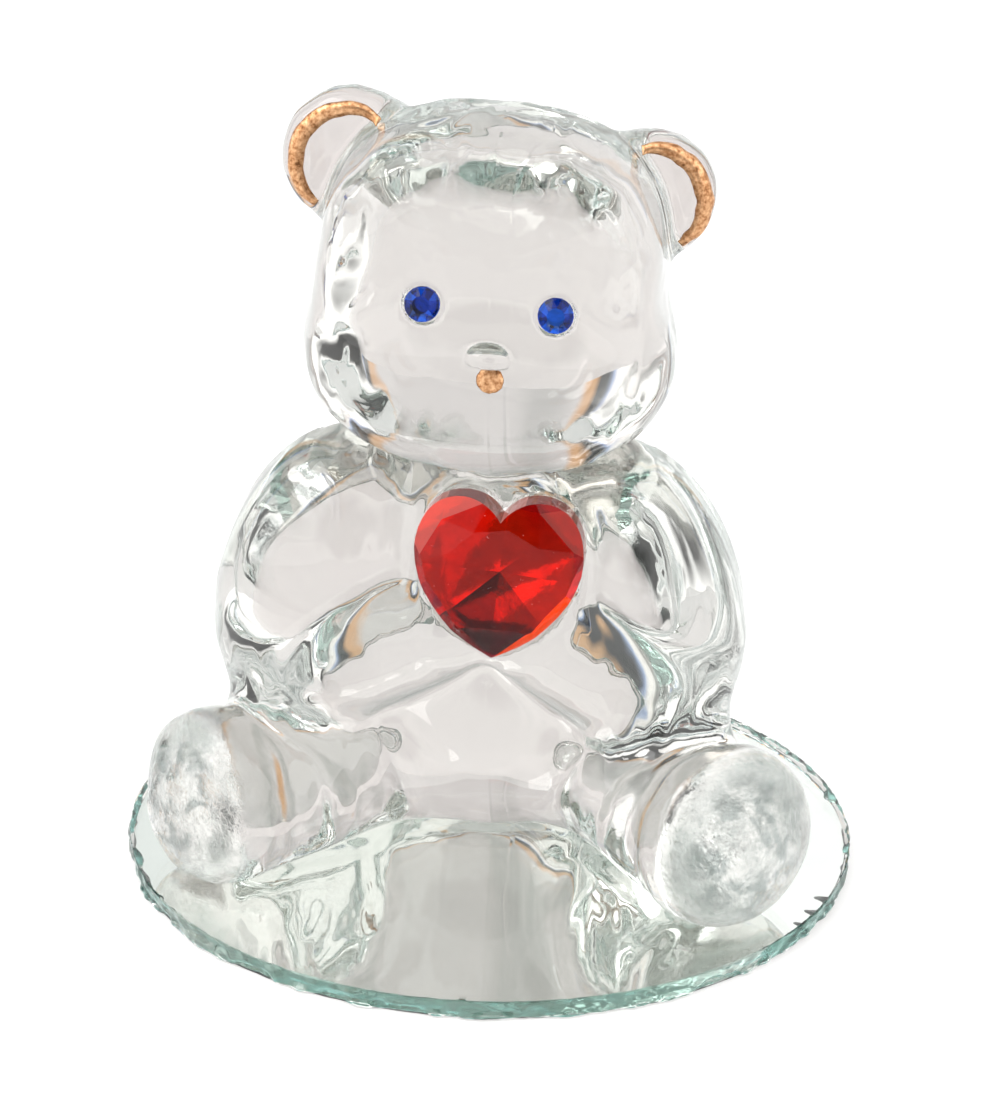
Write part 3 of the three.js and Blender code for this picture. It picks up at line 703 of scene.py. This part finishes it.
def ruby_glass():
    """Red foil-backed stone; each facet round its table has painted light and shade in its colour and a
    painted flash, set by the way it leans. The girdle's colour holds painted light and shade too, and fine
    specks on the table glow as painted glints.
    """
    shader = Shader("red_jewel", (0.5, 0.0, 0.002), 0.0, transmission=1.0, ior=STONE_IOR)
    shader.set("Specular IOR Level", 0.12)
    angle = shader.math("ARCTAN2", shader.lean(HEART_TURN[:, 1]), shader.lean(HEART_TURN[:, 0]))
    share = shader.math("ADD", shader.math("MULTIPLY", angle, 0.5 / math.pi), 0.5)
    facing = shader.lean(HEART_FACING)
    table = shader.ramp(facing, [(0.955, BLACK), (0.972, WHITE)])
    wall = shader.ramp(facing, [(0.30, WHITE), (0.45, BLACK)])
    red = shader.ramp(shader.noise(220, 2.0), [(0.3, (0.64, 0.0, 0.0)), (0.6, (0.78, 0.001, 0.0))])
    # Each facet's colour by the way it leans: painted light and shade.
    facets = shader.ramp(share, [(at, base) for at, base, painted_flash in RUBY_FACET_LIGHT], "CONSTANT")
    # Painted light and shade on the girdle, round the stone's turn.
    girdle = shader.ramp(share, RUBY_WALL_COLOUR_AND_LIGHT)
    tint = shader.mix(wall, shader.mix(table, facets, red), girdle)
    shader.link(tint, shader.bsdf.inputs["Base Color"])
    # Each facet's painted flash, given as glow.
    painted_flash = shader.ramp(share, [(at, painted_flash) for at, base, painted_flash in RUBY_FACET_LIGHT], "CONSTANT")
    # Fine specks on the table glow: painted glints.
    table_glints = shader.ramp(shader.noise(2300, 3.0, 0.6, 0.8), [(0.70, BLACK), (0.76, (0.30, 0.22, 0.22))])
    shader.link(shader.mix(table, painted_flash, table_glints), shader.bsdf.inputs["Emission Color"])
    shader.set("Emission Strength", 1.0)
    shader.bump(shader.noise(400, 2.0), 0.05, 0.0001)
    return shader.material


def sapphire_glass():
    """Blue foil-backed stone whose facets run from navy to bright blue by the way each faces: painted light
    and shade, with a painted flash on the brightest.
    """
    shader = Shader("blue_jewel", (0.002, 0.05, 0.62), 0.0, transmission=1.0, ior=STONE_IOR)
    shader.set("Specular IOR Level", 0.15)
    flash = shader.noise(2.7, 1.0, vector=shader.facet)
    # Painted light and shade: each facet's blue, navy to bright, set by a noise of the way it faces.
    tint = shader.ramp(
        flash, [(0.40, (0.001, 0.004, 0.08)), (0.5, (0.001, 0.03, 0.36)), (0.64, (0.002, 0.12, 0.80))]
    )
    shader.link(tint, shader.bsdf.inputs["Base Color"])
    # A painted flash: the brightest facets glow.
    painted_flash = shader.ramp(flash, [(0.52, BLACK), (0.68, (0.01, 0.06, 0.28))])
    shader.link(painted_flash, shader.bsdf.inputs["Emission Color"])
    shader.set("Emission Strength", 1.0)
    shader.bump(shader.noise(900, 2.0), 0.1, 0.0001)
    return shader.material


def jewel_foil():
    shader = Shader("jewel_foil", (0.80, 0.72, 0.70), 0.12, metallic=1.0)
    tint = shader.ramp(shader.noise(800, 3.0), [(0.3, (0.66, 0.58, 0.56)), (0.7, (0.84, 0.78, 0.76))])
    shader.link(tint, shader.bsdf.inputs["Base Color"])
    shader.bump(shader.noise(1500, 2.0), 0.15, 0.0001)
    return shader.material


def gold_lustre():
    shader = Shader("gold_lustre", (0.50, 0.26, 0.11), 0.34, metallic=1.0)
    mottle = shader.noise(2600, 4.0, 0.65)
    tint = shader.ramp(
        mottle, [(0.30, (0.16, 0.07, 0.03)), (0.42, (0.42, 0.20, 0.09)), (0.66, (0.78, 0.47, 0.26))]
    )
    shader.link(tint, shader.bsdf.inputs["Base Color"])
    rough = shader.ramp(mottle, [(0.3, (0.5,) * 3), (0.7, (0.24,) * 3)])
    shader.link(rough, shader.bsdf.inputs["Roughness"])
    shader.bump(mottle, 0.3, 0.00008)
    return shader.material


def floor_paint():
    shader = Shader("floor_paint", (0.62, 0.62, 0.62), 0.6)
    shader.set("Emission Color", (1, 1, 1, 1))
    shader.set("Emission Strength", 0.3)
    tint = shader.ramp(shader.noise(6, 2.0), [(0.3, (0.61, 0.61, 0.61)), (0.7, (0.63, 0.63, 0.63))])
    shader.link(tint, shader.bsdf.inputs["Base Color"])
    return shader.material


GLASS = clear_glass()
ADHESIVE = clear_adhesive()
FOIL = jewel_foil()
GOLD = gold_lustre()
RUBY = ruby_glass()
SAPPHIRE = sapphire_glass()


# ---------- the bear ----------

BEAR_LOW, BEAR_HIGH = vec(-31.5, -22.5, -1.2), vec(30.5, 20, 64)
BEAR_CELL = 0.36
SEAT_SINK = 0.03  # the bear stands this far inside the mirror's glass, so that no two faces coincide
FILM_LOW, FILM_HIGH = vec(-31, -22.5, -0.6), vec(30, 18, 0.7)
FILM_CELL = 0.3
FILM_LEVEL = 0.6  # the film follows the bear's outline at this height
FILM_INSET, FILM_SINK, FILM_TOP = 0.9, 0.06, 0.1


def add_bear():
    vertices, quads = surface_net(glass, BEAR_LOW, BEAR_HIGH, BEAR_CELL)
    vertices = vertices - vec(0, 0, SEAT_SINK)
    return settle(make_object("glass_bear", vertices, quads, GLASS), "clear_glass", "bear_body")


def base_film(p):
    """Adhesive between the bear and the mirror, ending unevenly just inside the bear's edge."""
    outline = form(p * vec(1, 1, 0) + vec(0, 0, FILM_LEVEL))
    spread = outline + FILM_INSET + 0.4 * value_noise(p, 2.2, 1.7)
    return np.maximum(np.maximum(spread, -FILM_SINK - p[:, 2]), p[:, 2] - FILM_TOP)


def add_base_film():
    vertices, quads = surface_net(base_film, FILM_LOW, FILM_HIGH, FILM_CELL, relax=1)
    return settle(make_object("base_film", vertices, quads, ADHESIVE), "clear_adhesive", "base_adhesive")


# ---------- gold lustre ----------

GOLD_SINK, GOLD_EDGE = 0.03, 0.02  # the film starts just inside the glass and ends this thick
EAR_GOLD = dict(columns=120, rows=14, thickness=0.45, end_share=9)
EAR_GOLD_START = 6
NOSE_GOLD = dict(columns=28, rows=28, thickness=0.22, end_share=4)
NOSE_GOLD_X, NOSE_GOLD_Z = 1.15, -2.0
NOSE_GOLD_RADIUS = 1.05
NOSE_GOLD_START = -18.0


def gold_film(name, place, columns, rows, thickness, end_share):
    """A closed film on the glass: place(u, v) gives points in front of the surface, in head coordinates."""
    u, v = np.meshgrid(np.linspace(0, 1, columns + 1), np.linspace(0, 1, rows + 1), indexing="ij")
    start = place(u.ravel(), v.ravel()) @ HEAD_TURN.T + HEAD_CENTRE
    surface = drop_onto(form, start, (0, 1, 0))
    normal = slope_of(form, surface)
    ends = np.clip(np.minimum(u, 1 - u) * end_share, 0, 1)
    rise = GOLD_EDGE + thickness * np.sqrt(ends * np.clip(4 * v * (1 - v), 0, 1)).ravel()
    vertices = np.concatenate([surface - GOLD_SINK * normal, surface + rise[:, None] * normal])
    size, line = len(surface), rows + 1
    quads = []
    for i in range(columns):
        for j in range(rows):
            loop = [i * line + j, (i + 1) * line + j, (i + 1) * line + j + 1, i * line + j + 1]
            quads.append([size + n for n in loop])
            quads.append(loop[::-1])
    rim = [i * line for i in range(columns)] + [columns * line + j for j in range(rows)]
    rim += [i * line + rows for i in range(columns, 0, -1)] + list(range(rows, 0, -1))
    for a, b in zip(rim, rim[1:] + rim[:1]):
        quads.append([a, b, size + b, size + a])
    return settle(make_object(name + "_lustre", vertices, quads, GOLD), "gold_lustre", name)


def add_ear_gold(ear):
    (inner, outer), (start, end) = ear["band"], np.radians(ear["gold"])
    centre = ear["centre"]

    def place(u, v):
        angle = start + (end - start) * u
        wobble = 0.10 * value_noise(np.stack([u * 14, v * 0 + 3.3, v * 0], -1), 1.0, ear["radius"])
        taper = np.sin(np.pi * np.clip(u, 0.03, 0.97)) ** 0.5
        reach = outer + (inner - outer) * (0.5 + (v - 0.5) * (0.3 + 0.7 * taper)) + wobble
        return np.stack([
            centre[0] + reach * np.cos(angle),
            np.full_like(u, centre[1] - EAR_GOLD_START),
            centre[2] + reach * np.sin(angle),
        ], -1)

    return gold_film("ear_gold_" + ear["name"], place, **EAR_GOLD)


def add_nose_gold():
    def place(u, v):
        x, z = 2 * u - 1, 2 * v - 1
        disc_x, disc_z = x * np.sqrt(1 - z * z / 2), z * np.sqrt(1 - x * x / 2)
        ragged = NOSE_GOLD_RADIUS + 0.05 * value_noise(np.stack([x, z, 0 * x], -1), 0.35)
        return np.stack([
            NOSE_GOLD_X + ragged * disc_x,
            np.full_like(u, NOSE_GOLD_START),
            NOSE_GOLD_Z + ragged * disc_z,
        ], -1)

    return gold_film("nose_gold", place, **NOSE_GOLD)


# ---------- mirror ----------

COATS = 0.06  # silvering and paint together
PLATE = COATS - MIRROR_TOP  # level of the plate's underside
SHEET_TOP, SHEET_BOTTOM = PLATE + 0.01, PLATE - 0.02  # the silvering starts just inside the glass
SILVER_CHIPS = (
    (-17.5, 1.0), (-22.5, 0.9), (-27.0, 0.8), (-30.5, 0.35), (-36.5, 0.45), (-42.0, 0.35),
)  # where the silvering has flaked off: degrees round the rim and depth
RIM_STEPS = 960
RIM_SHARP = math.radians(30)
INNER_RINGS = (10, 20, 28)
ARRIS = ((0.22, 1.0, 0.0), (0.16, 0.6, -0.05))  # inset, share of the teeth and level of its two edges
EDGE_WAVE, EDGE_TEETH, EDGE_FACETS, EDGE_BITE = 0.10, 0.07, 0.26, 0.95


def lathe(name, rows, material):
    """A closed disc: rows of rim points from the middle of the top, over the rim, to the middle below."""
    steps = RIM_STEPS
    middles = [[vec(0, 0, rows[0][0][2])], [vec(0, 0, rows[-1][0][2])]]
    vertices = np.concatenate(rows + middles)
    top, bottom = len(vertices) - 2, len(vertices) - 1
    faces = []
    for i in range(steps):
        after = (i + 1) % steps
        faces.append([top, i, after])
        for row in range(len(rows) - 1):
            a, b = row * steps, (row + 1) * steps
            faces.append([a + after, a + i, b + i, b + after])
        last = (len(rows) - 1) * steps
        faces.append([bottom, last + after, last + i])
    made = make_object(name, vertices, faces, material)
    made.data.set_sharp_from_angle(angle=RIM_SHARP)
    return made


def ring(reach, level):
    angle = np.arange(RIM_STEPS) * 2 * math.pi / RIM_STEPS
    return np.stack([reach * np.cos(angle), reach * np.sin(angle), np.zeros(RIM_STEPS) + level], -1)


def flat_sheet(reach, top, bottom):
    """Rows of a thin disc with flat faces and a straight edge."""
    above = [ring(inner, top) for inner in INNER_RINGS] + [ring(reach, top)]
    below = [ring(inner, bottom) for inner in reversed(INNER_RINGS)]
    return above + [ring(reach, bottom)] + below


def add_mirror_plate():
    """A hand-cut disc: a serrated upper arris, a wavy edge and shallow shells broken from its lower rim."""
    circle = ring(MIRROR_RADIUS, 0.0)
    wave = EDGE_WAVE * value_noise(circle, 4.0, 2.0)
    teeth = EDGE_TEETH * value_noise(circle, 0.5, 5.0)
    shells = np.clip(value_noise(circle, 3.2, 9.0) - 0.05, 0, 1)
    rows = [ring(10, 0), ring(20, 0), ring(29, 0)]
    rows += [ring(MIRROR_RADIUS - inset + share * teeth, level) for inset, share, level in ARRIS]
    levels = np.linspace(-0.12, PLATE + 0.1, 9)
    for level in levels:
        depth = (level - levels[0]) / (levels[-1] - levels[0])
        facets = EDGE_FACETS * value_noise(circle + vec(0, 0, 2.5 * level), 1.1, 4.0)
        bite = EDGE_BITE * shells * np.clip(2.2 * depth - 0.9, 0, 1) ** 1.5
        rows.append(ring(MIRROR_RADIUS - 0.12 + 0.5 * wave + facets * (0.3 + depth) - bite, level))
    under = MIRROR_RADIUS - 0.35 + 0.5 * wave - 0.75 * shells
    rows += [ring(under, PLATE)] + [ring(inner, PLATE) for inner in reversed(INNER_RINGS)]
    plate = lathe("mirror_plate", rows, mirror_glass())
    return settle(plate, "mirror_glass", "mirror_glass")


def add_silver_sheet():
    """The silvering, its top just inside the glass, flaked away in a few places along its rim."""
    circle = ring(MIRROR_RADIUS, 0.0)
    angle = np.degrees(np.arctan2(circle[:, 1], circle[:, 0]))
    reach = MIRROR_RADIUS - 0.55 - 0.35 * np.clip(value_noise(circle, 1.6, 6.0), 0, 1) ** 2
    for at, depth in SILVER_CHIPS:
        away = (angle - at) / (0.9 * depth)
        reach = reach - depth * np.sqrt(np.clip(1 - away * away, 0, 1))
    rows = flat_sheet(reach, SHEET_TOP, SHEET_BOTTOM)
    return settle(lathe("silver_sheet", rows, silvering()), "silvering", "mirror_silvering")


def add_paint_coat():
    """The dark paint that protects the silvering; it shows where the silvering has flaked."""
    reach = MIRROR_RADIUS - 0.5 + 0.08 * value_noise(ring(MIRROR_RADIUS, 0.0), 1.2, 4.4)
    rows = flat_sheet(reach, SHEET_BOTTOM, -MIRROR_TOP)
    return settle(lathe("paint_coat", rows, backing_paint()), "backing_paint", "mirror_backing_paint")


# ---------- jewels ----------

HEART_GIRDLE = 2.1
HEART_CROWN = 1.3
HEART_CUTS = (
    (-15, 0.8), (-36, 0.95), (-62, 1.1), (-90, 2.7), (-118, 1.2), (-144, 1.1), (-165, 0.9),
)  # the way each extra facet faces, in degrees round the stone, and how far in its top edge lies
WELD, CUT_GAP = 0.0005, 0.0001
FOIL_SHIFT = 0.06


def placed_mesh(name):
    """Vertices of a node of the frame, in millimetres above the mirror's top face, and its faces."""
    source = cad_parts[name]
    placed = np.array([list(source.matrix_world @ vertex.co) for vertex in source.data.vertices]) / MM
    return placed - vec(0, 0, MIRROR_TOP), [list(face.vertices) for face in source.data.polygons]


def add_heart_stone():
    """The heart with the facets that follow its tapering sides cut as well."""
    placed, faces = placed_mesh("heart_jewel")
    cut = bmesh.new()
    corners = [cut.verts.new(point) for point in (placed - HEART_SEAT) @ HEART_TURN]
    for face in faces:
        cut.faces.new([corners[n] for n in face])
    bmesh.ops.remove_doubles(cut, verts=cut.verts[:], dist=WELD)
    outline = heart_outline()
    for angle, inset in HEART_CUTS:
        out = vec(math.cos(math.radians(angle)), math.sin(math.radians(angle)))
        reach = (outline @ out).max()
        bmesh.ops.bisect_plane(
            cut, geom=cut.verts[:] + cut.edges[:] + cut.faces[:], dist=CUT_GAP, clear_outer=True,
            plane_co=(*(out * reach), HEART_GIRDLE), plane_no=(*(out * HEART_CROWN), inset),
        )
        bmesh.ops.holes_fill(cut, edges=[edge for edge in cut.edges if edge.is_boundary])
    bmesh.ops.recalc_face_normals(cut, faces=cut.faces[:])
    cut.verts.index_update()
    shaped = np.array([list(vertex.co) for vertex in cut.verts]) @ HEART_TURN.T + HEART_SEAT
    faces = [[vertex.index for vertex in face.verts] for face in cut.faces]
    cut.free()
    return settle(make_object("heart_stone", shaped, faces, RUBY, smooth=False), "red_jewel", "heart_jewel")


def pressed_foil(name, facing):
    """The foil of the frame, pushed just into the back of its stone so that no air is left between."""
    placed, faces = placed_mesh(name)
    pressed = placed + facing * FOIL_SHIFT
    return settle(make_object(name + "_sheet", pressed, faces, FOIL, smooth=False), "jewel_foil", name)


# ---------- stage, light and camera ----------

def towards(azimuth, elevation):
    """Unit vector towards a camera: azimuth 0 is in front of the bear and grows towards its left."""
    a, e = math.radians(azimuth), math.radians(elevation)
    return Vector((math.sin(a) * math.cos(e), -math.cos(a) * math.cos(e), math.sin(e)))


CAMERA_BACK = towards(5.0, 23.12)
CAMERA_DISTANCE = 0.300
CAMERA_ROLL = math.radians(1.28)
CAMERA_TARGET = Vector((0.00033, 0.00003, 0.02546))
CAMERA_LENS, CAMERA_SENSOR = 119.9, 36
FLOOR_HALF = 3.0
FLOOR_GAP = 0.00005
KEY_LIGHT = dict(place=Vector((-0.35, -0.15, 0.50)), aim=Vector((0, 0, 0.03)), side=0.35, power=1.2)
TENT_WHITE, TENT_BRIGHT, TENT_PALE = (1.0,) * 3, (1.7, 1.7, 1.68), (0.78, 0.80, 0.79)
TENT_GREY, TENT_DARK = (0.5, 0.51, 0.5), (0.06, 0.065, 0.07)
TENT_TAN, TENT_BLUE = (1.05, 0.66, 0.36), (0.62, 0.80, 1.2)
TENT_STRIPS = (
    (24, TENT_WHITE), (27, TENT_TAN), (30, TENT_TAN), (32, TENT_DARK), (36, TENT_DARK), (38, TENT_BLUE),
    (40, TENT_BRIGHT), (46, TENT_BRIGHT), (49, TENT_GREY), (60, TENT_WHITE), (63, TENT_DARK),
    (67, TENT_DARK), (70, TENT_BLUE), (73, TENT_BRIGHT),
)  # degrees to either side of straight behind the bear; the last goes on all the way round the front
TENT_SHADE = ((5, TENT_WHITE), (10, TENT_PALE), (16, TENT_PALE))  # only towards the bear's right
TENT_STRENGTH = 1.2
OPENING_EDGE = (0.90, 0.955)  # cosines from the camera's direction where the opening starts and is full
OPENING_COLOUR = (0.04,) * 3


def add_floor():
    size, z = FLOOR_HALF, CAD_LOW.z - FLOOR_GAP
    corners = [(-size, -size, z), (size, -size, z), (size, size, z), (-size, size, z)]
    mesh = bpy.data.meshes.new("floor")
    mesh.from_pydata(corners, [], [(0, 1, 2, 3)])
    mesh.materials.append(floor_paint())
    floor = bpy.data.objects.new("floor", mesh)
    bpy.context.scene.collection.objects.link(floor)


def add_key_light():
    light = bpy.data.lights.new("key_light", "AREA")
    light.shape = "RECTANGLE"
    light.size = light.size_y = KEY_LIGHT["side"]
    light.energy = KEY_LIGHT["power"]
    made = bpy.data.objects.new("key_light", light)
    made.location = KEY_LIGHT["place"]
    made.rotation_mode = "QUATERNION"
    made.rotation_quaternion = (KEY_LIGHT["aim"] - KEY_LIGHT["place"]).to_track_quat("-Z", "Y")
    bpy.context.scene.collection.objects.link(made)


def add_world():
    """A white tent with narrow strips in its walls and a dark opening on the camera's side."""
    world = bpy.data.worlds.new("studio")
    bpy.context.scene.world = world
    world.use_nodes = True
    nodes, links = world.node_tree.nodes, world.node_tree.links
    background = nodes["Background"]
    way = nodes.new("ShaderNodeTexCoord").outputs["Generated"]

    def aligned(direction):
        dot = nodes.new("ShaderNodeVectorMath")
        dot.operation = "DOT_PRODUCT"
        dot.inputs[1].default_value = Vector(direction).normalized()
        links.new(way, dot.inputs[0])
        return dot.outputs["Value"]

    def ramp(fac, stops):
        node = nodes.new("ShaderNodeValToRGB")
        while len(node.color_ramp.elements) < len(stops):
            node.color_ramp.elements.new(0.5)
        for element, (position, colour) in zip(node.color_ramp.elements, stops):
            element.position = position
            element.color = (*colour, 1)
        links.new(fac, node.inputs["Fac"])
        return node.outputs["Color"]

    def product(a, b):
        node = nodes.new("ShaderNodeMix")
        node.data_type = "RGBA"
        node.blend_type = "MULTIPLY"
        node.inputs["Factor"].default_value = 1.0
        links.new(a, node.inputs[6])
        links.new(b, node.inputs[7])
        return node.outputs[2]

    split = nodes.new("ShaderNodeSeparateXYZ")
    links.new(way, split.inputs[0])
    angle = nodes.new("ShaderNodeMath")
    angle.operation = "ARCTAN2"
    links.new(split.outputs["X"], angle.inputs[0])
    back = nodes.new("ShaderNodeMath")
    back.operation = "MULTIPLY"
    back.inputs[1].default_value = -1.0
    links.new(split.outputs["Y"], back.inputs[0])
    links.new(back.outputs[0], angle.inputs[1])
    turn_share = nodes.new("ShaderNodeMath")
    turn_share.operation = "MULTIPLY_ADD"
    turn_share.inputs[1].default_value = 0.5 / math.pi
    turn_share.inputs[2].default_value = 0.5
    links.new(angle.outputs[0], turn_share.inputs[0])
    near = [(at / 360, colour) for at, colour in TENT_SHADE + TENT_STRIPS]
    far = [(1 - at / 360, colour) for at, colour in reversed(TENT_STRIPS)]
    walls = ramp(turn_share.outputs[0], near + far)
    opening = ramp(aligned(CAMERA_BACK), list(zip(OPENING_EDGE, (TENT_WHITE, OPENING_COLOUR))))
    links.new(product(walls, opening), background.inputs["Color"])
    background.inputs["Strength"].default_value = TENT_STRENGTH


def add_camera():
    r, back = CAMERA_ROLL, CAMERA_BACK
    level = (-back).cross(Vector((0, 0, 1))).normalized()
    rise = level.cross(-back)
    right = math.cos(r) * level + math.sin(r) * rise
    up = math.cos(r) * rise - math.sin(r) * level
    camera = bpy.data.cameras.new("camera")
    camera.lens = CAMERA_LENS
    camera.sensor_width = CAMERA_SENSOR
    camera.clip_start, camera.clip_end = 0.01, 10
    made = bpy.data.objects.new("camera", camera)
    matrix = Matrix((right, up, back)).transposed().to_4x4()
    matrix.translation = CAMERA_TARGET + back * CAMERA_DISTANCE
    made.matrix_world = matrix
    bpy.context.scene.collection.objects.link(made)
    bpy.context.scene.camera = made


# ---------- CAD nodes that keep their shape ----------

def refinish(name, material):
    """Gives a node that keeps its own flat facets its material."""
    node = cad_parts[name]
    node.data.materials.clear()
    node.data.materials.append(material)
    node.data.polygons.foreach_set("use_smooth", [False] * len(node.data.polygons))


GLASS_BOUNCES, MIRROR_BOUNCES = 40, 24


def set_light_paths():
    """Enough bounces for light to find its way through solid glass standing on a mirror, and plain tones."""
    cycles = bpy.context.scene.cycles
    cycles.max_bounces = GLASS_BOUNCES
    cycles.transmission_bounces = GLASS_BOUNCES
    cycles.glossy_bounces = MIRROR_BOUNCES
    bpy.context.scene.view_settings.view_transform = "Standard"


set_light_paths()
add_camera()
add_floor()
add_world()
add_key_light()
add_bear()
add_base_film()
for ear in EARS:
    add_ear_gold(ear)
add_nose_gold()
add_mirror_plate()
add_silver_sheet()
add_paint_coat()
pressed_foil("heart_foil", HEART_FACING)
for eye in EYES:
    pressed_foil("eye_foil_" + eye["name"], eye["turn"][:, 2])
add_heart_stone()
for side in ("left", "right"):
    refinish("eye_jewel_" + side, SAPPHIRE)
    refinish("eye_glue_" + side, ADHESIVE)
refinish("heart_glue", ADHESIVE)
